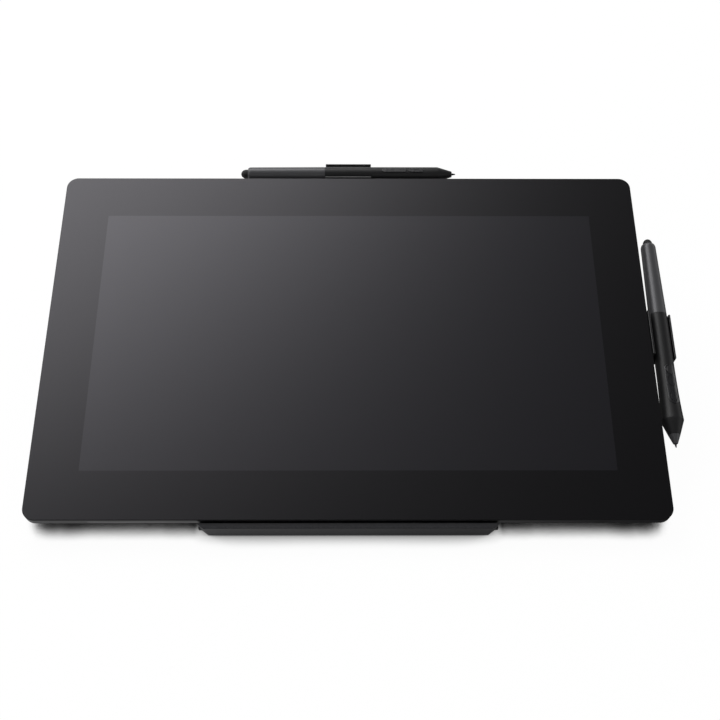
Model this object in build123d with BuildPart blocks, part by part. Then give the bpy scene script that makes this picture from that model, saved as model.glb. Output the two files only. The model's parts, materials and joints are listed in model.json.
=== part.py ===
from build123d import *
import math
import os

os.makedirs("parts", exist_ok=True)

# Pen display on a folding tilt stand, with a thin pen and a wide pen in plug-in holders.
# Millimetres, +X to the right, +Y away from the user, +Z up. The origin is the centre of the
# underside of the stand's front rubber strip, on the table.

# Lean of the display at rest, in degrees. The prop and the tray below the hinge are equally long,
# so the prop leans back by the same angle and its foot stays at the height of the hinge.
lean = 19.0
detent_steps = (0.0, 9.0, 19.0, 31.0, 41.0)

# Fits and clearances
seat_gap = 0.1
running_fit = 0.05
loose_gap = 0.3
overrun = 20.0

# Display outline. u runs along the width, v up the display, n out of the glass.
display_width = 409.6
display_depth = 259.1
display_corner = 8.0
rim_height = 6.5
back_inset = 8.0
back_corner = 4.0
back_edge = 1.2
back_wall = 1.2
rim_wall = 1.6

# Glass and screen stack
glass_thickness = 1.1
glass_bevel = 0.3
bezel_side = 32.7
bezel_end = 32.75
panel_border = 3.0
panel_thickness = 2.4
digitizer_thickness = 0.6
shield_thickness = 0.4
shield_inset = 16.0
bond_gap = 0.1

# Chassis frame
chassis_floor = 0.8
rail_width = 2.0
rail_rib = 1.2
rib_spacing = 68.0
chassis_boss = 2.8
screw_from_side = 18.8
screw_v_from_edge = 24.0
screw_radius = 0.95
screw_length = 4.2
screw_head_radius = 1.9
screw_head_height = 0.8
screw_head_seat = 1.0
cover_boss_height = 0.9
cover_boss_radius = 3.4
cover_rib_width = 1.0
cover_rib_height = 0.8

# Cooling slots in the back
vent_length = 9.0
vent_width = 1.6
vent_spacing = 5.0
vent_count = 15
vent_from_top = 45.1

# Electronics
board_width = 142.0
board_depth = 70.0
board_thickness = 1.2
board_from_wall = 2.9
board_v = 78.0
board_pad_height = 0.3
board_pad_radius = 3.2
board_pad_inset = 8.0
chip_height = 1.4
chip_sizes = ((16.0, 16.0), (11.0, 11.0), (14.0, 9.0), (7.0, 7.0), (5.0, 9.0))
chip_place_shares = ((0.10, 0.08), (-0.12, 0.18), (0.30, -0.22), (-0.22, -0.20), (0.38, 0.24))
spreader_width = 118.0
spreader_depth = 50.0
spreader_thickness = 0.5
cooling_space = 1.6
ribbon_width = 30.0
ribbon_thickness = 0.2
ribbon_leg = 12.0
ribbon_from_board = 10.9
ribbon_bend_v = 33.0
ribbon_board_lap = 3.0

# Sockets in the left wall
socket_width = 8.94
socket_height = 3.26
socket_wall = 0.3
socket_depth = 7.4
socket_recess = 0.5
socket_tongue = 0.7
socket_tongue_width = 6.7
socket_tongue_length = 5.0
socket_mouth_gap = 0.25
socket_places = (62.0, 80.0)

# Power button in the top wall
power_from_side = 54.8
power_width = 16.0
power_height = 2.4
power_flange = 1.2
power_flange_depth = 1.0
power_proud = 0.5
power_travel = 0.4
switch_width = 7.0
switch_depth = 3.8
switch_height = 2.6
plunger_radius = 0.9
plunger_length = 0.5

# Trim strip along the bottom wall
trim_from_side = 40.8
trim_top = 2.3
trim_height = 3.9
trim_depth = 0.8

# Rubber strips on the back of the display, as high as the tray's pad
back_strip_from_side = 54.8
back_strip_depth = 8.0
back_strip_v = 16.0
pad_height = 1.0
pad_edge = 0.3

# Hinge between base and tray
foot_thickness = 1.0
base_thickness = 2.2
knuckle_radius = 3.0
knuckle_overhang = 0.7
knuckle_width = 24.0
tray_knuckle_width = 10.0
hinge_u = 55.0
pin_radius = 1.25
neck_reach = 6.0
pocket_reach = 7.5

# Base plate
base_width = 190.0
base_tail = 17.6
base_corner = 10.0
base_bevel = 0.5
strip_width = 150.0
strip_depth = 8.0
strip_setback = 0.7
rear_strip_setback = 8.0
base_window_width = 24.0
base_window_depth = 52.0
base_window_corner = 6.0
base_window_spacing = 64.0

# Tray and lip
tray_thickness = 4.0
tray_width = 190.8
tray_rear_width = 148.0
tray_step_lead = 8.0
tray_depth = 170.0
tray_corner = 10.0
lip_gap = 1.4
lip_thickness = 3.5
lip_top = 2.0
lip_edge = 0.7
lip_corner = 4.4
lip_end_cut = 2.0
tray_window_width = 26.0
tray_window_depth = 40.0
tray_window_corner = 5.0
tray_window_spacing_u = 38.0
cushion_width = 160.0
cushion_top = 4.0
cushion_bottom = 11.0
cushion_thickness = 1.1
pad_width = 110.0
pad_depth = 16.0
pad_v = 148.0

# Prop: two arms, a foot bar and two rubber rollers
prop_length = 88.0
prop_eye_clearance = 0.22
prop_thickness = 4.0
prop_width = 12.0
prop_side_gap = 0.6
prop_slot_length = 38.0
prop_slot_width = 4.6
prop_barrel_width = 22.0
foot_bar_radius = 2.0
foot_bar_tenon = 1.2
foot_bar_tenon_length = 10.0
roller_wall = 0.4
roller_clearance = 0.12
detent_room = 0.8
roller_inner = 20.0
roller_outer = 66.0
roller_groove_width = 1.2
roller_groove_depth = 0.2
roller_groove_count = 9

# Pen holders. w runs outward from the display's wall.
holder_length = 33.5
holder_near = 0.5
holder_near_wall = 1.6
holder_bed_thickness = 1.05
holder_far_wall = 1.4
holder_far_top = 7.0
holder_floor_wall = 1.55
holder_saddle_depth = 8.6
holder_corner = 3.0
holder_edge = 0.6
prong_width = 6.0
prong_height = 2.4
prong_length = 5.0
prong_centre_depth = 4.0
prong_spacing = 20.0
prong_gap = 0.2
top_holder_u = -0.55
side_holder_v = 133.05
liner_cut = 0.6

# Thin pen, measured from its eraser tip along its axis
thin_shift = 0.6
thin_rise = 1.35
thin_radius = 5.25
thin_rear_radius = 5.0
thin_shoulder = 6.8
thin_shoulder_radius = 3.75
thin_joint = 62.0
thin_taper = 144.9
thin_cone_length = 10.6
thin_tip_length = 2.8
thin_nose_radius = 2.1
thin_bore = 2.9
thin_bore_lead = 0.7
thin_eraser_radius = 3.3
thin_eraser_end = 5.2
thin_nib_radius = 0.85
thin_button_width = 3.2
thin_button_gaps = ((31.8, 18.4), (15.8, 11.4))
thin_button_proud = 0.25

# Wide pen, measured from its eraser tip along its axis
wide_shift = 0.3
wide_drop = 0.2
wide_rear_radius = 5.2
wide_shoulder = 7.2
wide_shoulder_radius = 3.9
wide_joint = 62.2
wide_joint_radius = 6.15
wide_bulge = 141.4
waist_to_bulge = 46.0
swell_to_bulge = 19.4
wide_waist_rise = 0.1
wide_swell_rise = 0.4
wide_bulge_rise = 1.35
wide_cone_length = 10.0
wide_collar_length = 6.2
wide_tip_length = 2.6
wide_collar_radius = 3.95
wide_nose_radius = 1.5
wide_bore = 3.2
wide_bore_lead = 3.2
wide_eraser_radius = 3.3
wide_eraser_end = 4.8
wide_nib_radius = 0.8
wide_collar_stem = 2.2
bezel_to_bulge = 24.5
bezel_length = 29.1
bezel_width = 7.0
bezel_proud = 0.12
bezel_floor = 4.2
wide_button_shifts = ((-10.4, 6.6, 4.6), (-2.2, 7.6, 4.2), (9.2, 7.0, 4.4))
wide_button_angle = 11.0
wide_button_proud = 0.4

# Inside both pens
spigot_length = 8.0
spigot_wall = 0.8
eraser_travel = 0.6
eraser_dome = 3.8
eraser_stem = 1.2
eraser_stem_end = 11.0
eraser_switch_gap = 1.2
eraser_guide = 3.0
nib_travel = 0.5
button_travel = 0.3
button_gap = 0.15
pen_board_thickness = 1.0
pen_switch_height = 1.0
pen_coil_length = 9.5

# Stack behind the glass, as depths from its face
cover_top = glass_thickness + seat_gap
panel_top = glass_thickness + bond_gap
panel_bottom = panel_top + panel_thickness
digitizer_top = panel_bottom + bond_gap
digitizer_bottom = digitizer_top + digitizer_thickness
shield_top = digitizer_bottom + bond_gap
shield_bottom = shield_top + shield_thickness
floor_top = shield_bottom + bond_gap
floor_bottom = floor_top + chassis_floor
board_top = floor_bottom + board_pad_height
board_bottom = board_top + board_thickness
spreader_top = board_bottom + chip_height + seat_gap
spreader_bottom = spreader_top + spreader_thickness
cover_floor = spreader_bottom + cooling_space
display_thickness = cover_floor + back_wall
plate_top = display_thickness + pad_height + seat_gap
hinge_depth = plate_top + tray_thickness / 2
plate_bottom = plate_top + tray_thickness

# Sizes of the prop's foot and the hinge, which keep the rollers just over the base
roller_radius = foot_bar_radius + roller_wall
detent_radius = roller_radius + detent_room
hinge_rise = roller_radius + roller_clearance
prop_eye = hinge_rise - prop_eye_clearance
base_front_gap = knuckle_radius - knuckle_overhang

# Derived places
lean_radians = math.radians(lean)
detent_leans = [lean + step for step in detent_steps]
base_depth = 2 * prop_length * math.cos(lean_radians) + base_tail - base_front_gap
up_slope = Vector(0, math.cos(lean_radians), math.sin(lean_radians))
out = Vector(0, -math.sin(lean_radians), math.cos(lean_radians))
across = Vector(1, 0, 0)
hinge_y = -(base_front_gap + strip_setback + strip_depth / 2)
hinge_z = foot_thickness + base_thickness + hinge_rise
hinge = Vector(0, hinge_y, hinge_z)
glass_origin = hinge + out * hinge_depth
half_width = display_width / 2
middle_v = display_depth / 2
screen_width = display_width - 2 * bezel_side
screen_depth = display_depth - 2 * bezel_end
screw_u = half_width - screw_from_side
power_u = half_width - power_from_side

# Front plane holds (u, v) with n along its normal. Side sections hold (v, n) and run along u.
# Cross sections hold (u, n) and run down the display. The hinge section holds (y, z) from the hinge.
front = Plane(glass_origin, x_dir=across, z_dir=out)
side = Plane(glass_origin, x_dir=up_slope, z_dir=across)
cross = Plane(glass_origin, x_dir=across, z_dir=-up_slope)
hinge_side = Plane(hinge, x_dir=(0, 1, 0), z_dir=across)
plate_middle = hinge_depth


def slab(width, depth, corner, top, bottom):
    """Rounded slab on the display's middle, from depth top to depth bottom behind the glass face."""
    with BuildPart() as piece:
        with BuildSketch(front.offset(-top)):
            with Locations((0, middle_v)):
                RectangleRounded(width, depth, corner)
        extrude(amount=top - bottom)
    return piece


def dish(inset, top, waist, bottom, low_inset, corner, low_corner):
    """Straight rim from top to waist, then a sloping back down to bottom."""
    with BuildPart() as piece:
        with BuildSketch(front.offset(-top)):
            with Locations((0, middle_v)):
                RectangleRounded(display_width - 2 * inset, display_depth - 2 * inset, corner)
        extrude(amount=top - waist)
        with BuildSketch(front.offset(-waist)):
            with Locations((0, middle_v)):
                RectangleRounded(display_width - 2 * inset, display_depth - 2 * inset, corner)
        with BuildSketch(front.offset(-bottom)):
            with Locations((0, middle_v)):
                RectangleRounded(display_width - 2 * low_inset, display_depth - 2 * low_inset, low_corner)
        loft(ruled=True)
    return piece


def turned(plane, outline):
    """Turned piece: the outline is in (along, radius) on the plane and turns about its x axis."""
    with BuildPart() as piece:
        with BuildSketch(plane):
            with BuildLine():
                Polyline(*outline, close=True)
            make_face()
        revolve(axis=Axis(plane.origin, plane.x_dir))
    return piece


# Cover glass over the whole front, with a polished bevel round its face
with BuildPart() as cover_glass:
    add(slab(display_width, display_depth, display_corner, 0, glass_thickness).part)
    face_edges = cover_glass.faces().sort_by(Axis(glass_origin, out))[-1].edges()
    chamfer(face_edges, length=glass_bevel)
cover_glass.part.label = "cover_glass"
export_step(cover_glass.part, "parts/cover_glass.step")

# Screen panel, digitizer board and shield, stacked behind the glass
panel_width = screen_width + 2 * panel_border
panel_depth = screen_depth + 2 * panel_border
panel_corner = panel_border / 2
screen_panel = slab(panel_width, panel_depth, panel_corner, panel_top, panel_bottom)
screen_panel.part.label = "screen_panel"
export_step(screen_panel.part, "parts/screen_panel.step")

digitizer_board = slab(panel_width, panel_depth, panel_corner, digitizer_top, digitizer_bottom)
digitizer_board.part.label = "digitizer_board"
export_step(digitizer_board.part, "parts/digitizer_board.step")

shield_depth = panel_depth - 2 * shield_inset
shield_plate = slab(panel_width, shield_depth, panel_corner, shield_top, shield_bottom)
shield_plate.part.label = "shield_plate"
export_step(shield_plate.part, "parts/shield_plate.step")

# Chassis frame: a floor under the stack, a rail round it and a rail inside the cover's rim
boss_bottom = cover_floor - cover_boss_height - seat_gap
chassis_inset = rim_wall + seat_gap
pocket_width = panel_width + 2 * loose_gap
pocket_depth = panel_depth + 2 * loose_gap
screw_places = (
    (-screw_u, screw_v_from_edge),
    (0, screw_v_from_edge),
    (screw_u, screw_v_from_edge),
    (-screw_u, display_depth - screw_v_from_edge),
    (0, display_depth - screw_v_from_edge),
    (screw_u, display_depth - screw_v_from_edge),
)
board_u = board_from_wall - half_width + board_width / 2
pad_span_u = board_width - 2 * board_pad_inset
pad_span_v = board_depth - 2 * board_pad_inset
socket_centre_depth = board_top - socket_height / 2
prong_hole_width = prong_width + 2 * prong_gap
prong_hole_height = prong_height + 2 * prong_gap
top_holder_start = top_holder_u - holder_length / 2
side_holder_start = side_holder_v + holder_length / 2
prong_shifts = (-prong_spacing / 2, prong_spacing / 2)
ribbon_u = board_u + ribbon_from_board
power_centre_depth = (cover_top + floor_top) / 2
power_flange_height = floor_top - cover_top - 2 * running_fit
trim_width = display_width - 2 * trim_from_side
back_strip_width = display_width - 2 * back_strip_from_side
power_window = power_width + 2 * power_flange + 2 * loose_gap

with BuildPart() as chassis_frame:
    add(
        slab(
            display_width - 2 * chassis_inset,
            display_depth - 2 * chassis_inset,
            display_corner - rim_wall,
            cover_top,
            floor_bottom,
        ).part
    )
    with BuildSketch(front.offset(-cover_top)):
        with Locations((0, middle_v)):
            RectangleRounded(
                display_width - 2 * chassis_inset - 2 * rail_width,
                display_depth - 2 * chassis_inset - 2 * rail_width,
                display_corner - rim_wall - rail_width,
            )
            Rectangle(pocket_width + 2 * rail_width, pocket_depth + 2 * rail_width, mode=Mode.SUBTRACT)
            Rectangle(pocket_width, pocket_depth)
    extrude(amount=cover_top - floor_top, mode=Mode.SUBTRACT)
    # Ribs across the trough between the two rails
    rib_count = 2 * math.floor(panel_width / 2 / rib_spacing) + 1
    trough = (display_depth - pocket_depth) / 2 - rail_width - chassis_inset
    with BuildSketch(front.offset(-cover_top)):
        with Locations((0, chassis_inset + trough / 2), (0, display_depth - chassis_inset - trough / 2)):
            with GridLocations(rib_spacing, trough, rib_count, 1):
                Rectangle(rail_rib, trough)
    extrude(amount=cover_top - floor_top)
    # Bosses for the case screws and pads for the main board
    with BuildSketch(front.offset(-floor_top)):
        with Locations(*screw_places):
            Circle(chassis_boss)
    extrude(amount=floor_top - boss_bottom)
    with BuildSketch(front.offset(-floor_top)):
        with Locations((board_u, board_v)):
            with GridLocations(pad_span_u, pad_span_v, 2, 2):
                Circle(board_pad_radius)
    extrude(amount=floor_top - board_top)
    with BuildSketch(front.offset(-boss_bottom)):
        with Locations(*screw_places):
            Circle(screw_radius + running_fit)
    extrude(amount=screw_length, mode=Mode.SUBTRACT)
    # Window round the sockets, in floor and rail
    socket_span = socket_places[-1] - socket_places[0] + socket_width + 2 * loose_gap
    socket_middle = (socket_places[0] + socket_places[-1]) / 2
    socket_room = socket_depth + socket_recess + 2 * loose_gap
    with BuildSketch(front):
        with Locations((-half_width + socket_room / 2 + loose_gap, socket_middle)):
            Rectangle(socket_room, socket_span)
    extrude(amount=-overrun, mode=Mode.SUBTRACT)
    # Slot that lets the ribbon through
    ribbon_slot = ribbon_thickness + 2 * loose_gap + 2 * rail_width
    with BuildSketch(front.offset(-floor_top)):
        with Locations((ribbon_u, ribbon_bend_v)):
            Rectangle(ribbon_width + 2 * loose_gap, ribbon_slot)
    extrude(amount=-overrun, mode=Mode.SUBTRACT)
    # Gap in the outer rail for the power button's flange
    with BuildSketch(front.offset(-cover_top)):
        with Locations((power_u, display_depth - chassis_inset)):
            Rectangle(power_window, 2 * rail_width + 2 * loose_gap)
    extrude(amount=cover_top - floor_top, mode=Mode.SUBTRACT)
    # Sockets for the prongs of both holders
    for shift in prong_shifts:
        with BuildSketch(cross.offset(-display_depth)):
            with Locations((top_holder_u + shift, -prong_centre_depth)):
                Rectangle(prong_hole_width, prong_hole_height)
        extrude(amount=prong_length + loose_gap, mode=Mode.SUBTRACT)
        with BuildSketch(side.offset(half_width)):
            with Locations((side_holder_v + shift, -prong_centre_depth)):
                Rectangle(prong_hole_width, prong_hole_height)
        extrude(amount=-(prong_length + loose_gap), mode=Mode.SUBTRACT)
chassis_frame.part.label = "chassis_frame"
export_step(chassis_frame.part, "parts/chassis_frame.step")

# Rear cover: a shell with a straight rim and a sloping back, open to the front
slope_share = (cover_floor - rim_height) / (display_thickness - rim_height)
inner_low_inset = rim_wall + back_inset * slope_share
inner_low_corner = back_corner - back_wall
with BuildPart() as rear_cover:
    add(dish(0, cover_top, rim_height, display_thickness, back_inset, display_corner, back_corner).part)
    hollow = dish(
        rim_wall,
        cover_top,
        rim_height,
        cover_floor,
        inner_low_inset,
        display_corner - rim_wall,
        inner_low_corner,
    )
    fillet(rear_cover.faces().sort_by(Axis(glass_origin, out))[0].outer_wire().edges(), radius=back_edge)
    add(hollow.part, mode=Mode.SUBTRACT)
    # Ribs inside the back, in line with the bosses
    floor_width = display_width - 2 * inner_low_inset
    floor_depth = display_depth - 2 * inner_low_inset
    with BuildSketch(front.offset(-(cover_floor - cover_rib_height))):
        with Locations((0, middle_v)):
            with GridLocations(screw_u / 2, floor_depth, 5, 1):
                Rectangle(cover_rib_width, floor_depth)
            with GridLocations(floor_width, middle_v - screw_v_from_edge, 1, 3):
                Rectangle(floor_width, cover_rib_width)
    extrude(amount=-cover_rib_height)
    # Bosses that carry the screw heads
    with BuildSketch(front.offset(-(cover_floor - cover_boss_height))):
        with Locations(*screw_places):
            Circle(cover_boss_radius)
    extrude(amount=-cover_boss_height)
    with BuildSketch(front.offset(-display_thickness)):
        with Locations(*screw_places):
            Circle(screw_head_radius + running_fit)
    extrude(amount=screw_head_seat, mode=Mode.SUBTRACT)
    with BuildSketch(front.offset(-display_thickness)):
        with Locations(*screw_places):
            Circle(screw_radius + seat_gap)
    extrude(amount=back_wall + cover_boss_height + seat_gap, mode=Mode.SUBTRACT)
    # Cooling slots in two groups
    with BuildSketch(front.offset(-display_thickness)):
        for group in (-1, 1):
            with Locations((group * vent_count * vent_spacing, display_depth - vent_from_top)):
                with GridLocations(vent_spacing, vent_length, vent_count, 1):
                    SlotOverall(vent_length, vent_width, rotation=90)
    extrude(amount=back_wall + cover_rib_height, mode=Mode.SUBTRACT)
    # Mouths of the sockets
    with BuildSketch(side.offset(-half_width)):
        for place in socket_places:
            with Locations((place, -socket_centre_depth)):
                SlotOverall(socket_width + 2 * socket_mouth_gap, socket_height + 2 * socket_mouth_gap)
    extrude(amount=rim_wall, mode=Mode.SUBTRACT)
    # Opening for the power button
    with BuildSketch(cross.offset(-display_depth)):
        with Locations((power_u, -power_centre_depth)):
            SlotOverall(power_width + 2 * button_gap, power_height + 2 * button_gap)
    extrude(amount=rim_wall, mode=Mode.SUBTRACT)
    # Groove for the trim strip
    with BuildSketch(cross):
        with Locations((0, -trim_top - trim_height / 2)):
            Rectangle(trim_width + 2 * running_fit, trim_height + 2 * running_fit)
    extrude(amount=-trim_depth - running_fit, mode=Mode.SUBTRACT)
    # Mouths for the prongs
    for shift in prong_shifts:
        with BuildSketch(cross.offset(-display_depth)):
            with Locations((top_holder_u + shift, -prong_centre_depth)):
                Rectangle(prong_hole_width, prong_hole_height)
        extrude(amount=rim_wall, mode=Mode.SUBTRACT)
        with BuildSketch(side.offset(half_width)):
            with Locations((side_holder_v + shift, -prong_centre_depth)):
                Rectangle(prong_hole_width, prong_hole_height)
        extrude(amount=-rim_wall, mode=Mode.SUBTRACT)
rear_cover.part.label = "rear_cover"
export_step(rear_cover.part, "parts/rear_cover.step")

# Trim strip, flush in its groove
with BuildPart() as bottom_trim_strip:
    with BuildSketch(cross):
        with Locations((0, -trim_top - trim_height / 2)):
            Rectangle(trim_width, trim_height)
    extrude(amount=-trim_depth)
bottom_trim_strip.part.label = "bottom_trim_strip"
export_step(bottom_trim_strip.part, "parts/bottom_trim_strip.step")

# Rubber strips on the back
with BuildPart() as rear_foot_strips:
    with BuildSketch(front.offset(-display_thickness)):
        with Locations((0, back_strip_v), (0, display_depth - back_strip_v)):
            SlotOverall(back_strip_width, back_strip_depth)
    extrude(amount=-pad_height)
    fillet(rear_foot_strips.faces().sort_by(Axis(glass_origin, out))[:2].edges(), radius=pad_edge)
rear_foot_strips.part.label = "rear_foot_strips"
export_step(rear_foot_strips.part, "parts/rear_foot_strips.step")

# Case screws, from behind through the cover into the chassis
head_bottom = display_thickness - screw_head_seat + screw_head_height
with BuildPart() as case_screws:
    with BuildSketch(front.offset(-head_bottom)):
        with Locations(*screw_places):
            Circle(screw_head_radius)
    extrude(amount=screw_head_height)
    with BuildSketch(front.offset(-head_bottom)):
        with Locations(*screw_places):
            Circle(screw_radius)
    extrude(amount=screw_head_height + screw_length)
    with BuildSketch(front.offset(-head_bottom)):
        with Locations(*screw_places):
            RegularPolygon(screw_radius, 6)
    extrude(amount=screw_head_height / 2, mode=Mode.SUBTRACT)
case_screws.part.label = "case_screws"
export_step(case_screws.part, "parts/case_screws.step")

# Main board under the chassis floor, with its chips and heat spreader
with BuildPart() as main_board:
    with BuildSketch(front.offset(-board_top)):
        with Locations((board_u, board_v)):
            Rectangle(board_width, board_depth)
    extrude(amount=-board_thickness)
main_board.part.label = "main_board"
export_step(main_board.part, "parts/main_board.step")

with BuildPart() as board_chips:
    for size, share in zip(chip_sizes, chip_place_shares):
        chip_u = board_u + share[0] * spreader_width
        chip_v = board_v + share[1] * spreader_depth
        with BuildSketch(front.offset(-board_bottom)):
            with Locations((chip_u, chip_v)):
                Rectangle(size[0], size[1])
        extrude(amount=-chip_height)
board_chips.part.label = "board_chips"
export_step(board_chips.part, "parts/board_chips.step")

with BuildPart() as heat_spreader:
    with BuildSketch(front.offset(-spreader_top)):
        with Locations((board_u, board_v)):
            RectangleRounded(spreader_width, spreader_depth, display_corner)
    extrude(amount=-spreader_thickness)
heat_spreader.part.label = "heat_spreader"
export_step(heat_spreader.part, "parts/heat_spreader.step")

# Ribbon that folds from the digitizer board round the chassis floor to the main board
ribbon_top = digitizer_bottom + bond_gap + ribbon_thickness / 2
ribbon_low = board_bottom + bond_gap + ribbon_thickness / 2
ribbon_turn = (ribbon_low - ribbon_top) / 2
board_edge = board_v - board_depth / 2
with BuildPart() as panel_ribbon:
    with BuildLine(side.offset(ribbon_u)) as ribbon_line:
        Line((ribbon_bend_v + ribbon_leg, -ribbon_top), (ribbon_bend_v, -ribbon_top))
        ThreePointArc(
            (ribbon_bend_v, -ribbon_top),
            (ribbon_bend_v - ribbon_turn, -ribbon_top - ribbon_turn),
            (ribbon_bend_v, -ribbon_low),
        )
        Line((ribbon_bend_v, -ribbon_low), (board_edge + ribbon_board_lap, -ribbon_low))
    with BuildSketch(Plane(origin=ribbon_line.line @ 0, x_dir=across, z_dir=ribbon_line.line % 0)):
        Rectangle(ribbon_width, ribbon_thickness)
    sweep(path=ribbon_line.line)
panel_ribbon.part.label = "panel_ribbon"
export_step(panel_ribbon.part, "parts/panel_ribbon.step")

# Two sockets, each a shell with a tongue
with BuildPart() as usb_sockets:
    for place in socket_places:
        mouth = side.offset(-half_width + socket_recess)
        with BuildSketch(mouth):
            with Locations((place, -socket_centre_depth)):
                SlotOverall(socket_width, socket_height)
        extrude(amount=socket_depth)
        with BuildSketch(mouth):
            with Locations((place, -socket_centre_depth)):
                SlotOverall(socket_width - 2 * socket_wall, socket_height - 2 * socket_wall)
        extrude(amount=socket_depth - socket_wall, mode=Mode.SUBTRACT)
        with BuildSketch(side.offset(-half_width + socket_recess + socket_depth - socket_wall)):
            with Locations((place, -socket_centre_depth)):
                Rectangle(socket_tongue_width, socket_tongue)
        extrude(amount=-socket_tongue_length)
usb_sockets.part.label = "usb_sockets"
export_step(usb_sockets.part, "parts/usb_sockets.step")

# Power button and the switch that it presses
flange_top_v = display_depth - rim_wall - seat_gap
with BuildPart() as power_button:
    with BuildSketch(cross.offset(-(display_depth + power_proud))):
        with Locations((power_u, -power_centre_depth)):
            SlotOverall(power_width, power_height)
    extrude(amount=power_proud + rim_wall + seat_gap)
    with BuildSketch(cross.offset(-flange_top_v)):
        with Locations((power_u, -power_centre_depth)):
            SlotOverall(power_width + 2 * power_flange, power_flange_height)
    extrude(amount=power_flange_depth)
    button_face = power_button.faces().sort_by(Axis(glass_origin, up_slope))[-1]
    fillet(button_face.edges(), radius=power_proud / 2)
power_button.part.label = "power_button"
export_step(power_button.part, "parts/power_button.step")

plunger_v = flange_top_v - power_flange_depth - power_travel - running_fit
with BuildPart() as power_switch:
    with BuildSketch(front.offset(-floor_top)):
        with Locations((power_u, plunger_v - plunger_length - switch_depth / 2)):
            Rectangle(switch_width, switch_depth)
    extrude(amount=switch_height)
    with BuildSketch(cross.offset(-plunger_v)):
        with Locations((power_u, -power_centre_depth)):
            Circle(plunger_radius)
    extrude(amount=plunger_length + plunger_radius)
power_switch.part.label = "power_switch"
export_step(power_switch.part, "parts/power_switch.step")

# Stand base: a plate on rubber strips, with hinge knuckles at the front and five grooves
base_front = hinge_y + base_front_gap
base_middle = base_front + base_depth / 2
hinge_places = (-hinge_u, hinge_u)
pin_bore = pin_radius + running_fit
with BuildPart() as stand_base:
    with BuildSketch(Plane.XY.offset(foot_thickness)):
        with Locations((0, base_middle)):
            RectangleRounded(base_width, base_depth, base_corner)
            with GridLocations(base_width, base_window_spacing, 1, 2):
                RectangleRounded(
                    base_window_width, base_window_depth, base_window_corner, mode=Mode.SUBTRACT
                )
    extrude(amount=base_thickness)
    chamfer(stand_base.faces().sort_by(Axis.Z)[-1].outer_wire().edges(), length=base_bevel)
    for place in hinge_places:
        with BuildSketch(hinge_side.offset(place - knuckle_width / 2)):
            Circle(knuckle_radius)
            with BuildLine():
                Polyline(
                    (0, -knuckle_radius),
                    (base_front_gap, -hinge_rise - base_thickness),
                    (neck_reach, -hinge_rise - base_thickness),
                    (neck_reach, -hinge_rise),
                    (knuckle_radius, 0),
                    close=True,
                )
            make_face()
        extrude(amount=knuckle_width)
        with BuildSketch(hinge_side.offset(place - knuckle_width / 2)):
            Circle(pin_bore)
        extrude(amount=knuckle_width, mode=Mode.SUBTRACT)
        # Grooves in which the rollers drop at each lean
        groove_length = roller_outer - roller_inner + 2 * detent_radius
        with BuildSketch(hinge_side.offset(place - (place / abs(place)) * hinge_u)):
            for angle in detent_leans:
                with Locations((2 * prop_length * math.cos(math.radians(angle)), 0)):
                    Circle(detent_radius)
        extrude(
            amount=math.copysign(roller_outer + detent_radius, place),
            mode=Mode.SUBTRACT,
        )
stand_base.part.label = "stand_base"
export_step(stand_base.part, "parts/stand_base.step")

with BuildPart() as base_foot_strips:
    with BuildSketch(Plane.XY):
        with Locations((0, 0), (0, base_front + base_depth - rear_strip_setback - strip_depth / 2)):
            SlotOverall(strip_width, strip_depth)
    extrude(amount=foot_thickness)
base_foot_strips.part.label = "base_foot_strips"
export_step(base_foot_strips.part, "parts/base_foot_strips.step")

hinge_span = knuckle_width + 2 * tray_knuckle_width + 2 * seat_gap
with BuildPart() as hinge_pins:
    for place in hinge_places:
        with BuildSketch(hinge_side.offset(place - hinge_span / 2)):
            Circle(pin_radius)
        extrude(amount=hinge_span)
hinge_pins.part.label = "hinge_pins"
export_step(hinge_pins.part, "parts/hinge_pins.step")

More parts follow.
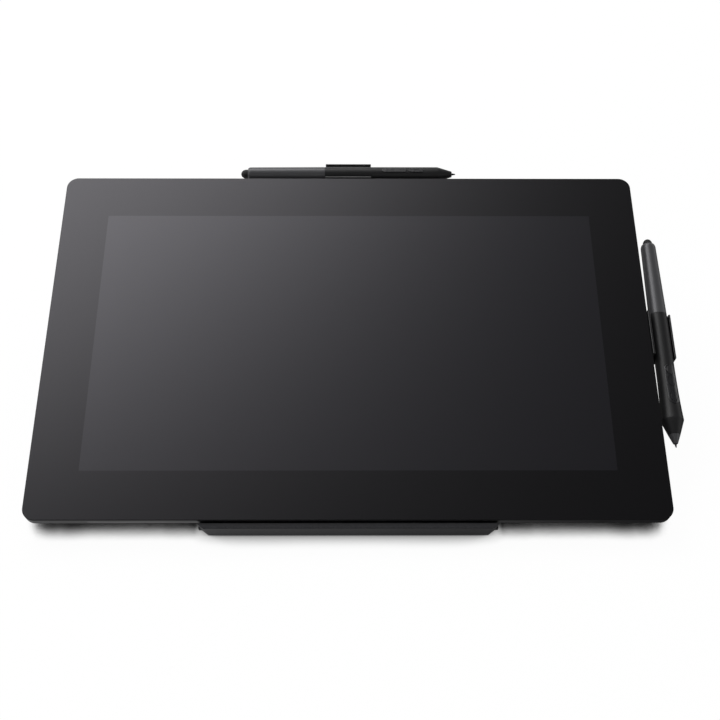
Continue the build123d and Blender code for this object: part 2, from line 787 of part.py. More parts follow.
# Stand tray: a plate with an upturned lip that carries the display's bottom edge
tray_front = -lip_gap - lip_thickness
tray_step_v = prop_length - tray_step_lead
with BuildPart() as stand_tray:
    with BuildSketch(side.offset(-tray_width / 2)):
        with BuildLine():
            Polyline(
                (-lip_gap, -lip_top),
                (tray_front, -lip_top),
                (tray_front, -plate_bottom),
                (tray_depth, -plate_bottom),
                (tray_depth, -plate_top),
                (-lip_gap, -plate_top),
                close=True,
            )
        make_face()
    extrude(amount=tray_width)
    # Front edges of the lip, rounded
    lip_edges = stand_tray.edges().filter_by(Axis.X).group_by(Axis(glass_origin, up_slope))[0]
    fillet(lip_edges, radius=lip_edge)
    # Narrow rear part, between the arms of the prop
    step_u = (tray_rear_width + tray_width) / 2
    with BuildSketch(front.offset(-lip_top)):
        for hand in (-1, 1):
            with Locations((hand * step_u, (tray_step_v + tray_depth + overrun) / 2)):
                Rectangle(tray_width, tray_depth + overrun - tray_step_v)
    extrude(amount=-overrun, mode=Mode.SUBTRACT)
    rear_corners = stand_tray.edges().filter_by(Axis(glass_origin, out)).group_by(
        Axis(glass_origin, up_slope)
    )[-1]
    fillet(rear_corners, radius=tray_corner)
    # Corners of the lip, cut off on a slant that draws in towards the table
    for hand in (-1, 1):
        slant = -out * (plate_bottom - lip_top) - across * hand * lip_end_cut
        with BuildSketch(front.offset(-lip_top)):
            with BuildLine():
                Polyline(
                    (hand * tray_width / 2, -lip_gap),
                    (hand * (tray_width / 2 - lip_corner), tray_front),
                    (hand * (tray_width / 2 + lip_end_cut + overrun), tray_front),
                    (hand * (tray_width / 2 + lip_end_cut + overrun), -lip_gap),
                    close=True,
                )
            make_face()
        extrude(amount=slant.length, dir=slant, mode=Mode.SUBTRACT)
    # Knuckles for the hinge pins and barrels for the prop's pivots
    for place in hinge_places:
        for hand in (-1, 1):
            edge = knuckle_width / 2 + seat_gap
            start = place + edge if hand > 0 else place - edge - tray_knuckle_width
            with BuildSketch(side.offset(start)):
                with Locations((0, -plate_middle)):
                    Circle(knuckle_radius)
            extrude(amount=tray_knuckle_width)
    for hand in (-1, 1):
        with BuildSketch(side.offset(hand * tray_rear_width / 2)):
            with Locations((prop_length, -plate_middle)):
                Circle(prop_eye)
        extrude(amount=-hand * prop_barrel_width)
    # Pockets for the base's knuckles
    for place in hinge_places:
        pocket_width_u = knuckle_width + 2 * seat_gap
        with BuildSketch(side.offset(place - pocket_width_u / 2)):
            with Locations((0, -plate_middle)):
                Circle(knuckle_radius + 2 * loose_gap)
            with Locations((pocket_reach / 2, -plate_middle)):
                Rectangle(pocket_reach, 2 * (knuckle_radius + loose_gap))
        extrude(amount=pocket_width_u, mode=Mode.SUBTRACT)
        with BuildSketch(side.offset(place - hinge_span / 2)):
            with Locations((0, -plate_middle)):
                Circle(pin_bore)
        extrude(amount=hinge_span, mode=Mode.SUBTRACT)
    for hand in (-1, 1):
        with BuildSketch(side.offset(hand * tray_rear_width / 2)):
            with Locations((prop_length, -plate_middle)):
                Circle(pin_bore)
        extrude(amount=-hand * (prop_barrel_width - pin_radius), mode=Mode.SUBTRACT)
    # Windows that lighten the plate
    front_window_v = (tray_step_v + pocket_reach) / 2
    rear_window_v = (tray_depth + tray_step_v) / 2 - pad_depth
    with BuildSketch(front.offset(-plate_top)):
        with Locations((0, front_window_v), (0, rear_window_v)):
            with GridLocations(tray_window_spacing_u, tray_window_depth, 3, 1):
                RectangleRounded(tray_window_width, tray_window_depth, tray_window_corner)
    extrude(amount=-tray_thickness, mode=Mode.SUBTRACT)
stand_tray.part.label = "stand_tray"
export_step(stand_tray.part, "parts/stand_tray.step")

# Cushion on the lip's inner face and pad under the display's middle
with BuildPart() as lip_cushion:
    with BuildSketch(cross.offset(lip_gap)):
        with Locations((0, -(cushion_top + cushion_bottom) / 2)):
            RectangleRounded(cushion_width, cushion_bottom - cushion_top, cushion_thickness)
    extrude(amount=-cushion_thickness)
lip_cushion.part.label = "lip_cushion"
export_step(lip_cushion.part, "parts/lip_cushion.step")

with BuildPart() as tray_pads:
    with BuildSketch(front.offset(-plate_top)):
        with Locations((0, pad_v)):
            SlotOverall(pad_width, pad_depth)
    extrude(amount=pad_height)
    fillet(tray_pads.faces().sort_by(Axis(glass_origin, out))[-1].edges(), radius=pad_edge)
tray_pads.part.label = "tray_pads"
export_step(tray_pads.part, "parts/tray_pads.step")

# Prop: two arms on pivot pins, joined by the foot bar with its rollers
pivot = hinge + up_slope * prop_length
down_slope = Vector(0, math.cos(lean_radians), -math.sin(lean_radians))
prop_side = Plane(pivot, x_dir=down_slope, z_dir=across)
prop_face = Plane(pivot, x_dir=down_slope, z_dir=across.cross(down_slope))
arm_start = tray_rear_width / 2 + prop_side_gap


def prop_arm(hand):
    """One arm, with an eye on the pivot pin, a slot and an eye on the foot bar."""
    with BuildPart() as piece:
        with BuildSketch(prop_side.offset(hand * arm_start)):
            Circle(prop_eye)
            with Locations((prop_length / 2, 0)):
                Rectangle(prop_length, prop_thickness)
            with Locations((prop_length, 0)):
                Circle(prop_eye)
                Circle(foot_bar_tenon + running_fit, mode=Mode.SUBTRACT)
            Circle(pin_bore, mode=Mode.SUBTRACT)
        extrude(amount=hand * prop_width)
        with BuildSketch(prop_face):
            with Locations((prop_length / 2, -hand * (arm_start + prop_width / 2))):
                SlotOverall(prop_slot_length, prop_slot_width)
        extrude(amount=prop_thickness, both=True, mode=Mode.SUBTRACT)
    return piece


prop_left_arm = prop_arm(-1)
prop_left_arm.part.label = "prop_left_arm"
export_step(prop_left_arm.part, "parts/prop_left_arm.step")

prop_right_arm = prop_arm(1)
prop_right_arm.part.label = "prop_right_arm"
export_step(prop_right_arm.part, "parts/prop_right_arm.step")

pivot_reach = tray_rear_width / 2 - prop_barrel_width + 2 * pin_radius
with BuildPart() as prop_pivot_pins:
    for hand in (-1, 1):
        with BuildSketch(prop_side.offset(hand * pivot_reach)):
            Circle(pin_radius)
        extrude(amount=hand * (arm_start + prop_width - pivot_reach))
prop_pivot_pins.part.label = "prop_pivot_pins"
export_step(prop_pivot_pins.part, "parts/prop_pivot_pins.step")

bar_half = arm_start - seat_gap
with BuildPart() as prop_foot_bar:
    with BuildSketch(prop_side.offset(-bar_half)):
        with Locations((prop_length, 0)):
            Circle(foot_bar_radius)
    extrude(amount=2 * bar_half)
    with BuildSketch(prop_side.offset(-bar_half - foot_bar_tenon_length)):
        with Locations((prop_length, 0)):
            Circle(foot_bar_tenon)
    extrude(amount=2 * (bar_half + foot_bar_tenon_length))
prop_foot_bar.part.label = "prop_foot_bar"
export_step(prop_foot_bar.part, "parts/prop_foot_bar.step")

with BuildPart() as prop_rollers:
    for hand in (-1, 1):
        with BuildSketch(prop_side.offset(hand * roller_inner)):
            with Locations((prop_length, 0)):
                Circle(roller_radius)
                Circle(foot_bar_radius + running_fit, mode=Mode.SUBTRACT)
        extrude(amount=hand * (roller_outer - roller_inner))
        # Grooves round the rubber
        for groove in range(1, roller_groove_count + 1):
            spot = roller_inner + groove * (roller_outer - roller_inner) / (roller_groove_count + 1)
            with BuildSketch(prop_side.offset(hand * (spot - roller_groove_width / 2))):
                with Locations((prop_length, 0)):
                    Circle(roller_radius)
                    Circle(roller_radius - roller_groove_depth, mode=Mode.SUBTRACT)
            extrude(amount=hand * roller_groove_width, mode=Mode.SUBTRACT)
prop_rollers.part.label = "prop_rollers"
export_step(prop_rollers.part, "parts/prop_rollers.step")

# Pen holders: a channel with a low outer wall, on two prongs
wide_waist_radius = wide_joint_radius + wide_waist_rise
saddle_radius = wide_waist_radius + holder_bed_thickness
saddle_w = holder_near + holder_near_wall + saddle_radius
holder_far = saddle_w + saddle_radius + holder_far_wall
thin_w = saddle_w - thin_shift
thin_n = holder_saddle_depth - thin_rise
wide_w = saddle_w + wide_shift
wide_n = holder_saddle_depth + wide_drop
holder_bottom = holder_saddle_depth + saddle_radius + holder_floor_wall


def holder_channel(section, wall):
    """Holder on a section plane at its start. The display's wall stands at x = wall on it."""
    with BuildPart() as piece:
        with BuildSketch(section) as profile:
            with BuildLine():
                Polyline(
                    (wall + holder_near, 0),
                    (wall + holder_near, holder_corner - holder_bottom),
                    (wall + holder_near + holder_corner, -holder_bottom),
                    (wall + holder_far - holder_corner, -holder_bottom),
                    (wall + holder_far, holder_corner - holder_bottom),
                    (wall + holder_far, -holder_far_top),
                    (wall + holder_far - holder_far_wall, -holder_far_top),
                    (wall + holder_far - holder_far_wall, 0),
                    close=True,
                )
            make_face()
            with Locations((wall + saddle_w, -holder_saddle_depth)):
                Circle(saddle_radius, mode=Mode.SUBTRACT)
            with Locations((wall + saddle_w, -holder_saddle_depth / 2)):
                Rectangle(2 * saddle_radius, holder_saddle_depth, mode=Mode.SUBTRACT)
            # Rounded tops of both walls
            fillet(profile.vertices().sort_by(Axis.Y)[-4:], radius=holder_edge)
        extrude(amount=holder_length)
        for shift in prong_shifts:
            start = holder_length / 2 + shift - prong_width / 2
            with BuildSketch(section.offset(start)):
                with Locations((wall + (holder_near - prong_length) / 2, -prong_centre_depth)):
                    Rectangle(holder_near + prong_length, prong_height)
            extrude(amount=prong_width)
    return piece


def holder_bed(section, wall, pen_w, pen_n, bed_radius):
    """Rubber bed in a holder's channel, hollowed for a pen."""
    with BuildPart() as piece:
        with BuildSketch(section):
            with Locations((wall + saddle_w, -holder_saddle_depth)):
                Circle(saddle_radius - running_fit)
            with Locations((wall + saddle_w, overrun / 2 - pen_n - liner_cut)):
                Rectangle(overrun, overrun, mode=Mode.SUBTRACT)
            with Locations((wall + pen_w, -pen_n)):
                Circle(bed_radius, mode=Mode.SUBTRACT)
        extrude(amount=holder_length)
    return piece


top_section = side.offset(top_holder_start)
side_section = cross.offset(-side_holder_start)

top_holder = holder_channel(top_section, display_depth)
top_holder.part.label = "top_holder"
export_step(top_holder.part, "parts/top_holder.step")

side_holder = holder_channel(side_section, half_width)
side_holder.part.label = "side_holder"
export_step(side_holder.part, "parts/side_holder.step")

top_holder_liner = holder_bed(top_section, display_depth, thin_w, thin_n, thin_radius + loose_gap)
top_holder_liner.part.label = "top_holder_liner"
export_step(top_holder_liner.part, "parts/top_holder_liner.step")

side_holder_liner = holder_bed(side_section, half_width, wide_w, wide_n, wide_waist_radius + loose_gap)
side_holder_liner.part.label = "side_holder_liner"
export_step(side_holder_liner.part, "parts/side_holder_liner.step")

# Stations of both pens, from the eraser tip
thin_nose = thin_taper + thin_cone_length
thin_length = thin_nose + thin_tip_length
thin_bore_end = thin_taper + thin_bore_lead
thin_start_u = top_holder_u - thin_length / 2
thin_button_places = [(thin_taper - gap, length) for gap, length in thin_button_gaps]
wide_waist = wide_bulge - waist_to_bulge
wide_swell = wide_bulge - swell_to_bulge
wide_swell_radius = wide_joint_radius + wide_swell_rise
wide_bulge_radius = wide_joint_radius + wide_bulge_rise
wide_collar = wide_bulge + wide_cone_length
wide_nose = wide_collar + wide_collar_length
wide_length = wide_nose + wide_tip_length
wide_bore_end = wide_bulge + wide_bore_lead
bezel_place = wide_bulge - bezel_to_bulge
wide_button_places = [
    (bezel_place + shift, length, width) for shift, length, width in wide_button_shifts
]
# The wide pen stands in its holder between its joint and its waist
wide_start_v = side_holder_v + (wide_joint + wide_waist) / 2

# Pen sections hold (along, radius). Their x axis is the pen's axis and y faces out of the display.
# Pen tops hold (along, across) and face the way the buttons do.
thin_origin = glass_origin + across * thin_start_u + up_slope * (display_depth + thin_w) - out * thin_n
thin_section = Plane(thin_origin, x_dir=across, z_dir=-up_slope)
thin_top = Plane(thin_origin, x_dir=across, z_dir=out)
wide_origin = glass_origin + across * (half_width + wide_w) + up_slope * wide_start_v - out * wide_n
wide_section = Plane(wide_origin, x_dir=-up_slope, z_dir=-across)
# The wide pen lies turned a little in its holder, with its buttons away from the display
wide_turn = math.radians(wide_button_angle)
wide_out = out * math.cos(wide_turn) + across * math.sin(wide_turn)
wide_top = Plane(wide_origin, x_dir=-up_slope, z_dir=wide_out)


def pen_eraser(section, end, radius):
    """Soft eraser with a domed tip and a stem that presses on its switch."""
    with BuildPart() as piece:
        with BuildSketch(section):
            with BuildLine():
                EllipticalCenterArc((eraser_dome, 0), eraser_dome, radius, start_angle=90, arc_size=90)
                Polyline(
                    (eraser_dome, radius),
                    (end, radius),
                    (end + eraser_travel, radius),
                    (end + eraser_travel, eraser_stem),
                    (eraser_stem_end, eraser_stem),
                    (eraser_stem_end, 0),
                    (0, 0),
                )
            make_face()
        revolve(axis=Axis(section.origin, section.x_dir))
    return piece


def pen_barrel(section, end, eraser_radius, shoulder, shoulder_radius, rear_radius, joint, radius, bore):
    """Rear half of a pen: eraser seat, shoulder and a bore that takes the grip's spigot."""
    seat = end + 3 * eraser_travel
    socket = bore + spigot_wall + running_fit
    return turned(
        section,
        (
            (end, eraser_radius + running_fit),
            (end, shoulder_radius),
            (shoulder, rear_radius),
            (joint, radius),
            (joint, socket),
            (joint - spigot_length, socket),
            (joint - spigot_length, bore),
            (seat + eraser_guide, bore),
            (seat + eraser_guide, eraser_stem + running_fit),
            (seat, eraser_stem + running_fit),
            (seat, eraser_radius + running_fit),
        ),
    )


def pen_nib(section, start, length, tip_length, radius):
    """Nib with a rounded tip, in the bore of the nose."""
    tip = radius / 2
    return turned(
        section,
        (
            (start, 0),
            (start, radius),
            (length - tip_length, radius),
            (length - tip, tip),
            (length, tip / 2),
            (length, 0),
        ),
    )


def pen_board(section, top, bore, coil_end, presses):
    """Circuit board with a switch under each button and the coil round the nib's seat."""
    coil_start = coil_end - pen_coil_length
    half_board = math.sqrt(bore**2 - pen_board_thickness**2) - seat_gap
    pen_board_start = eraser_stem_end + eraser_switch_gap
    with BuildPart() as piece:
        with BuildSketch(top.offset(-pen_board_thickness / 2)):
            with Locations(((pen_board_start + coil_start) / 2, 0)):
                Rectangle(coil_start - pen_board_start, 2 * half_board)
        extrude(amount=pen_board_thickness)
        with BuildSketch(top.offset(pen_board_thickness / 2)):
            for place in presses:
                with Locations((place, 0)):
                    Rectangle(pen_switch_height * 2, pen_switch_height * 2)
        extrude(amount=pen_switch_height)
        along = Plane(section.origin, x_dir=section.y_dir, z_dir=section.x_dir)
        with BuildSketch(along.offset(coil_start)):
            Circle(bore - seat_gap)
        extrude(amount=pen_coil_length)
    return piece


# Thin pen
thin_pen_eraser = pen_eraser(thin_section, thin_eraser_end, thin_eraser_radius)
thin_pen_eraser.part.label = "thin_pen_eraser"
export_step(thin_pen_eraser.part, "parts/thin_pen_eraser.step")

thin_pen_barrel = pen_barrel(
    thin_section,
    thin_eraser_end,
    thin_eraser_radius,
    thin_shoulder,
    thin_shoulder_radius,
    thin_rear_radius,
    thin_joint,
    thin_radius,
    thin_bore,
)
thin_pen_barrel.part.label = "thin_pen_barrel"
export_step(thin_pen_barrel.part, "parts/thin_pen_barrel.step")

with BuildPart() as thin_pen_grip:
    add(
        turned(
            thin_section,
            (
                (thin_joint, thin_bore + spigot_wall),
                (thin_joint, thin_radius),
                (thin_taper, thin_radius),
                (thin_nose, thin_nose_radius),
                (thin_nose, thin_nib_radius + running_fit),
                (thin_bore_end, thin_nib_radius + running_fit),
                (thin_bore_end, thin_bore),
                (thin_joint - spigot_length + running_fit, thin_bore),
                (thin_joint - spigot_length + running_fit, thin_bore + spigot_wall),
            ),
        ).part
    )
    with BuildSketch(thin_top):
        for place, length in thin_button_places:
            with Locations((place, 0)):
                SlotOverall(length + 2 * button_gap, thin_button_width + 2 * button_gap)
    extrude(amount=overrun, mode=Mode.SUBTRACT)
thin_pen_grip.part.label = "thin_pen_grip"
export_step(thin_pen_grip.part, "parts/thin_pen_grip.step")

thin_nib_start = thin_bore_end + running_fit
thin_pen_nib = pen_nib(thin_section, thin_nib_start, thin_length, thin_tip_length, thin_nib_radius)
thin_pen_nib.part.label = "thin_pen_nib"
export_step(thin_pen_nib.part, "parts/thin_pen_nib.step")

thin_coil_end = thin_bore_end - nib_travel
thin_presses = [place for place, length in thin_button_places]
thin_pen_board = pen_board(thin_section, thin_top, thin_bore, thin_coil_end, thin_presses)
thin_pen_board.part.label = "thin_pen_board"
export_step(thin_pen_board.part, "parts/thin_pen_board.step")

button_foot = pen_board_thickness / 2 + pen_switch_height + button_travel + running_fit
thin_buttons = []
for place, length in thin_button_places:
    with BuildPart() as thin_button:
        with BuildSketch(thin_top.offset(button_foot)):
            with Locations((place, 0)):
                SlotOverall(length, thin_button_width)
        extrude(amount=thin_radius + thin_button_proud - button_foot)
        crown = thin_button.faces().sort_by(Axis(thin_origin, out))[-1]
        fillet(crown.edges(), radius=thin_button_proud)
    thin_buttons.append(thin_button)
thin_pen_rear_button = thin_buttons[0]
thin_pen_rear_button.part.label = "thin_pen_rear_button"
export_step(thin_pen_rear_button.part, "parts/thin_pen_rear_button.step")

thin_pen_front_button = thin_buttons[1]
thin_pen_front_button.part.label = "thin_pen_front_button"
export_step(thin_pen_front_button.part, "parts/thin_pen_front_button.step")

# Wide pen
wide_pen_eraser = pen_eraser(wide_section, wide_eraser_end, wide_eraser_radius)
wide_pen_eraser.part.label = "wide_pen_eraser"
export_step(wide_pen_eraser.part, "parts/wide_pen_eraser.step")

wide_pen_barrel = pen_barrel(
    wide_section,
    wide_eraser_end,
    wide_eraser_radius,
    wide_shoulder,
    wide_shoulder_radius,
    wide_rear_radius,
    wide_joint,
    wide_joint_radius,
    wide_bore,
)
wide_pen_barrel.part.label = "wide_pen_barrel"
export_step(wide_pen_barrel.part, "parts/wide_pen_barrel.step")


def wide_body(raise_by):
    """Solid outer form of the wide pen's grip, raised by a small amount."""
    with BuildPart() as piece:
        with BuildSketch(wide_section):
            with BuildLine():
                Spline(
                    (wide_joint, wide_joint_radius + raise_by),
                    (wide_waist, wide_waist_radius + raise_by),
                    (wide_swell, wide_swell_radius + raise_by),
                    (wide_bulge, wide_bulge_radius + raise_by),
                )
                Polyline(
                    (wide_bulge, wide_bulge_radius + raise_by),
                    (wide_collar, wide_collar_radius + raise_by),
                    (wide_collar, 0),
                    (wide_joint, 0),
                    (wide_joint, wide_joint_radius + raise_by),
                )
            make_face()
        revolve(axis=Axis(wide_origin, wide_section.x_dir))
    return piece


with BuildPart() as wide_pen_grip:
    add(wide_body(0).part)
    spigot = turned(
        wide_section,
        (
            (wide_joint - spigot_length + running_fit, 0),
            (wide_joint - spigot_length + running_fit, wide_bore + spigot_wall),
            (wide_joint + spigot_wall, wide_bore + spigot_wall),
            (wide_joint + spigot_wall, 0),
        ),
    )
    add(spigot.part)
    inside = turned(
        wide_section,
        (
            (0, 0),
            (0, wide_bore),
            (wide_bore_end, wide_bore),
            (wide_bore_end, wide_collar_stem + running_fit),
            (wide_collar, wide_collar_stem + running_fit),
            (wide_collar, 0),
        ),
    )
    add(inside.part, mode=Mode.SUBTRACT)
    with BuildSketch(wide_top.offset(bezel_floor)):
        with Locations((bezel_place, 0)):
            SlotOverall(bezel_length + 2 * running_fit, bezel_width + 2 * running_fit)
    extrude(amount=overrun, mode=Mode.SUBTRACT)
    with BuildSketch(wide_top):
        for place, length, width in wide_button_places:
            with Locations((place, 0)):
                Ellipse(length / 2 + button_gap, width / 2 + button_gap)
    extrude(amount=overrun, mode=Mode.SUBTRACT)
wide_pen_grip.part.label = "wide_pen_grip"
export_step(wide_pen_grip.part, "parts/wide_pen_grip.step")

wide_pen_collar = turned(
    wide_section,
    (
        (wide_bore_end, wide_nib_radius + running_fit),
        (wide_bore_end, wide_collar_stem),
        (wide_collar, wide_collar_stem),
        (wide_collar, wide_collar_radius),
        (wide_nose, wide_nose_radius),
        (wide_nose, wide_nib_radius + running_fit),
    ),
)
wide_pen_collar.part.label = "wide_pen_collar"
export_step(wide_pen_collar.part, "parts/wide_pen_collar.step")

wide_nib_start = wide_bore_end + running_fit
wide_pen_nib = pen_nib(wide_section, wide_nib_start, wide_length, wide_tip_length, wide_nib_radius)
wide_pen_nib.part.label = "wide_pen_nib"
export_step(wide_pen_nib.part, "parts/wide_pen_nib.step")

wide_coil_end = wide_bore_end - nib_travel
wide_presses = [place for place, length, width in wide_button_places]
wide_pen_board = pen_board(wide_section, wide_top, wide_bore, wide_coil_end, wide_presses)
wide_pen_board.part.label = "wide_pen_board"
export_step(wide_pen_board.part, "parts/wide_pen_board.step")

with BuildPart() as wide_pen_bezel:
    with BuildSketch(wide_top.offset(bezel_floor + running_fit)):
        with Locations((bezel_place, 0)):
            SlotOverall(bezel_length, bezel_width)
    extrude(amount=overrun)
    add(wide_body(bezel_proud).part, mode=Mode.INTERSECT)
    with BuildSketch(wide_top):
        for place, length, width in wide_button_places:
            with Locations((place, 0)):
                Ellipse(length / 2 + button_gap, width / 2 + button_gap)
    extrude(amount=overrun, mode=Mode.SUBTRACT)
wide_pen_bezel.part.label = "wide_pen_bezel"
export_step(wide_pen_bezel.part, "parts/wide_pen_bezel.step")

wide_button_names = ("wide_pen_rear_button", "wide_pen_middle_button", "wide_pen_front_button")
for name, (place, length, width) in zip(wide_button_names, wide_button_places):
    with BuildPart() as wide_button:
        with BuildSketch(wide_top.offset(button_foot)):
            with Locations((place, 0)):
                Ellipse(length / 2, width / 2)
        extrude(amount=overrun)
        add(wide_body(wide_button_proud).part, mode=Mode.INTERSECT)
    wide_button.part.label = name
    export_step(wide_button.part, f"parts/{name}.step")
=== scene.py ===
import json
import math

import bpy
from mathutils import Matrix, Vector


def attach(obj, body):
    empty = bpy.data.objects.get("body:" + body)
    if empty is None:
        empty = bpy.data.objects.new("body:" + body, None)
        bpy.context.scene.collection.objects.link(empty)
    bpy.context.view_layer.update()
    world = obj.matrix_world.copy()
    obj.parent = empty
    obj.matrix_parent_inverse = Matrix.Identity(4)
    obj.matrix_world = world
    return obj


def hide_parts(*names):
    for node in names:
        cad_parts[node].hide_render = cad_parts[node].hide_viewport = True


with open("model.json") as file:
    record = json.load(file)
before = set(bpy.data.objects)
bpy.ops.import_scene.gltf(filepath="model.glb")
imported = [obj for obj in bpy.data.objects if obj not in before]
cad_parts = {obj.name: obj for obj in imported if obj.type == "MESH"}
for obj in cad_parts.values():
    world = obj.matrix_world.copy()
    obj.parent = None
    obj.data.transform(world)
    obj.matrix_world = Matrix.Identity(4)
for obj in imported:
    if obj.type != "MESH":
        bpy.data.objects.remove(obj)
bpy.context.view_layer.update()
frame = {"nodes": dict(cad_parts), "record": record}

# Pen display on its tilt stand. Real sizes are in millimetres, and Blender works in metres.
MM = 0.001

# The display's own frame: u across, v up the display, n out of the glass. Its zero is the middle
# of the bottom edge, in the face of the glass, which lies over the hinge that the tray tilts on.
LEAN = math.radians(19.0)
ACROSS = Vector((1, 0, 0))
UP_SLOPE = Vector((0, math.cos(LEAN), math.sin(LEAN)))
OUT = Vector((0, -math.sin(LEAN), math.cos(LEAN)))
HINGE = Vector((0, -7.0, 5.72)) * MM
FACE_OVER_HINGE = 15.1
FACE = HINGE + OUT * FACE_OVER_HINGE * MM
DISPLAY_DEPTH = 259.1
SCREEN_WIDTH = 344.2
SCREEN_DEPTH = 193.6

# Most values of a noise lie between these two
NOISE_LOW = 0.3
NOISE_HIGH = 0.7


def at(u, v, n):
    """Point of the display's frame, given in millimetres, as a place in the scene, in metres."""
    return FACE + (ACROSS * u + UP_SLOPE * v + OUT * n) * MM


def linear(hex_colour):
    """An sRGB hex colour as linear RGBA."""
    parts = [int(hex_colour[i:i + 2], 16) / 255 for i in (1, 3, 5)]
    return [c / 12.92 if c <= 0.04045 else ((c + 0.055) / 1.055) ** 2.4 for c in parts] + [1.0]


def add_node(tree, kind, values=None, links=None, **settings):
    """Adds a shader node with its settings, its input values and its input links."""
    node = tree.nodes.new(kind)
    for name, value in settings.items():
        setattr(node, name, value)
    for name, value in (values or {}).items():
        node.inputs[name].default_value = value
    for name, output in (links or {}).items():
        tree.links.new(output, node.inputs[name])
    return node


def new_material(name, colour, roughness, **sockets):
    """Node material with one Principled shader.
    Its sockets are named as in Blender, with _ for a space."""
    material = bpy.data.materials.new(name)
    material.use_nodes = True
    tree = material.node_tree
    tree.nodes.clear()
    values = {"Base Color": linear(colour), "Roughness": roughness}
    values.update({key.replace("_", " "): value for key, value in sockets.items()})
    shader = add_node(tree, "ShaderNodeBsdfPrincipled", values)
    add_node(tree, "ShaderNodeOutputMaterial", links={"Surface": shader.outputs["BSDF"]})
    return material, tree, shader


def display_coordinates(tree):
    """Object coordinates turned into the display's own frame."""
    place = add_node(tree, "ShaderNodeTexCoord")
    turn = Matrix.Rotation(-LEAN, 3, "X")
    shift = -(turn @ FACE)
    return add_node(
        tree,
        "ShaderNodeMapping",
        {"Location": shift, "Rotation": (-LEAN, 0, 0)},
        {"Vector": place.outputs["Object"]},
    )


def grain(tree, shader, size, depth, detail=2.0, source=None):
    """Fine bumps of one size and depth, both in millimetres, as on a moulded or coated surface."""
    place = source or add_node(tree, "ShaderNodeTexCoord").outputs["Object"]
    noise = add_node(
        tree,
        "ShaderNodeTexNoise",
        {"Scale": 1 / (size * MM), "Detail": detail},
        {"Vector": place},
    )
    bump = add_node(
        tree,
        "ShaderNodeBump",
        {"Strength": 1.0, "Distance": depth * MM},
        {"Height": noise.outputs["Fac"]},
    )
    tree.links.new(bump.outputs["Normal"], shader.inputs["Normal"])
    return noise


def vary(tree, shader, socket, noise, low, high):
    """Lets a socket wander between two values with a noise."""
    spread = add_node(
        tree,
        "ShaderNodeMapRange",
        {"From Min": NOISE_LOW, "From Max": NOISE_HIGH, "To Min": low, "To Max": high},
        {"Value": noise.outputs["Fac"]},
    )
    tree.links.new(spread.outputs["Result"], shader.inputs[socket])


def tint(tree, shader, noise, dark, light):
    """Lets the base colour wander between two colours with a noise."""
    ramp = add_node(tree, "ShaderNodeValToRGB", links={"Fac": noise.outputs["Fac"]})
    ends = ((NOISE_LOW, dark), (NOISE_HIGH, light))
    for stop, (position, colour) in zip(ramp.color_ramp.elements, ends):
        stop.position = position
        stop.color = linear(colour)
    tree.links.new(ramp.outputs["Color"], shader.inputs["Base Color"])


# The coating on the glass gives its reflection a faint violet cast
GLASS_TINT = (0.955, 0.93, 1.0, 1.0)


def etched_glass(name, colour, smooth, rough, **sockets):
    """Etched cover glass, which spreads the reflection of the lamp softly over the front."""
    material, tree, shader = new_material(name, colour, (smooth + rough) / 2, **sockets)
    # The etch is about 0.02 mm across, far too fine to show, so it is drawn at 0.5 mm
    noise = grain(tree, shader, 0.5, 0.002, source=display_coordinates(tree).outputs["Vector"])
    vary(tree, shader, "Roughness", noise, smooth, rough)
    return material


def ground_edge():
    """Ground bevel round the glass, matt and dark under its black print."""
    material, tree, shader = new_material(
        "ground_glass_edge", "#131314", 0.6, IOR=1.52, Specular_IOR_Level=0.1
    )
    grain(tree, shader, 0.3, 0.01)
    return material


def screen_surface():
    """The same glass bonded to the switched-off panel, whose layers add their own reflection."""
    return etched_glass(
        "glass_over_dark_screen", "#111115", 0.36, 0.395, IOR=1.6, Specular_Tint=GLASS_TINT
    )


def moulded_shell():
    """ABS and polycarbonate back with a spark-eroded grain, dull black."""
    material, tree, shader = new_material(
        "moulded_abs_shell", "#1d1d1f", 0.55, IOR=1.53, Specular_IOR_Level=0.3
    )
    noise = grain(tree, shader, 0.6, 0.03, detail=4.0)
    vary(tree, shader, "Roughness", noise, 0.48, 0.62)
    tint(tree, shader, noise, "#19191b", "#212124")
    return material


def anodised_trim():
    """Dark grey anodised aluminium strip, brushed along its length."""
    material, tree, shader = new_material("anodised_aluminium", "#2a2a2c", 0.42, Metallic=1.0)
    # The marks of the brush run fifty times as long as they are wide
    place = add_node(tree, "ShaderNodeTexCoord")
    stretch = add_node(
        tree,
        "ShaderNodeMapping",
        {"Scale": (0.02, 1, 1)},
        {"Vector": place.outputs["Object"]},
    )
    noise = grain(tree, shader, 0.3, 0.004, source=stretch.outputs["Vector"])
    vary(tree, shader, "Roughness", noise, 0.3, 0.45)
    return material


def rubber(name, colour, size):
    """Moulded silicone or EPDM, matt with a fine nap."""
    material, tree, shader = new_material(name, colour, 0.75, IOR=1.5)
    noise = grain(tree, shader, size, 0.03)
    vary(tree, shader, "Roughness", noise, 0.68, 0.85)
    return material


def powder_coat():
    """Steel with a black powder coat, satin with a fine orange peel of about 1 mm."""
    material, tree, shader = new_material(
        "powder_coated_steel", "#2d2d2f", 0.5, IOR=1.5, Specular_IOR_Level=0.08
    )
    noise = grain(tree, shader, 0.9, 0.03, detail=3.0)
    vary(tree, shader, "Roughness", noise, 0.45, 0.56)
    tint(tree, shader, noise, "#2a2a2c", "#323234")
    return material


def bare_steel():
    """Zinc plated steel of the pins and screws, bright with a slightly uneven plating."""
    material, tree, shader = new_material("zinc_plated_steel", "#8d8f92", 0.32, Metallic=1.0)
    noise = grain(tree, shader, 0.35, 0.006)
    vary(tree, shader, "Roughness", noise, 0.25, 0.4)
    return material


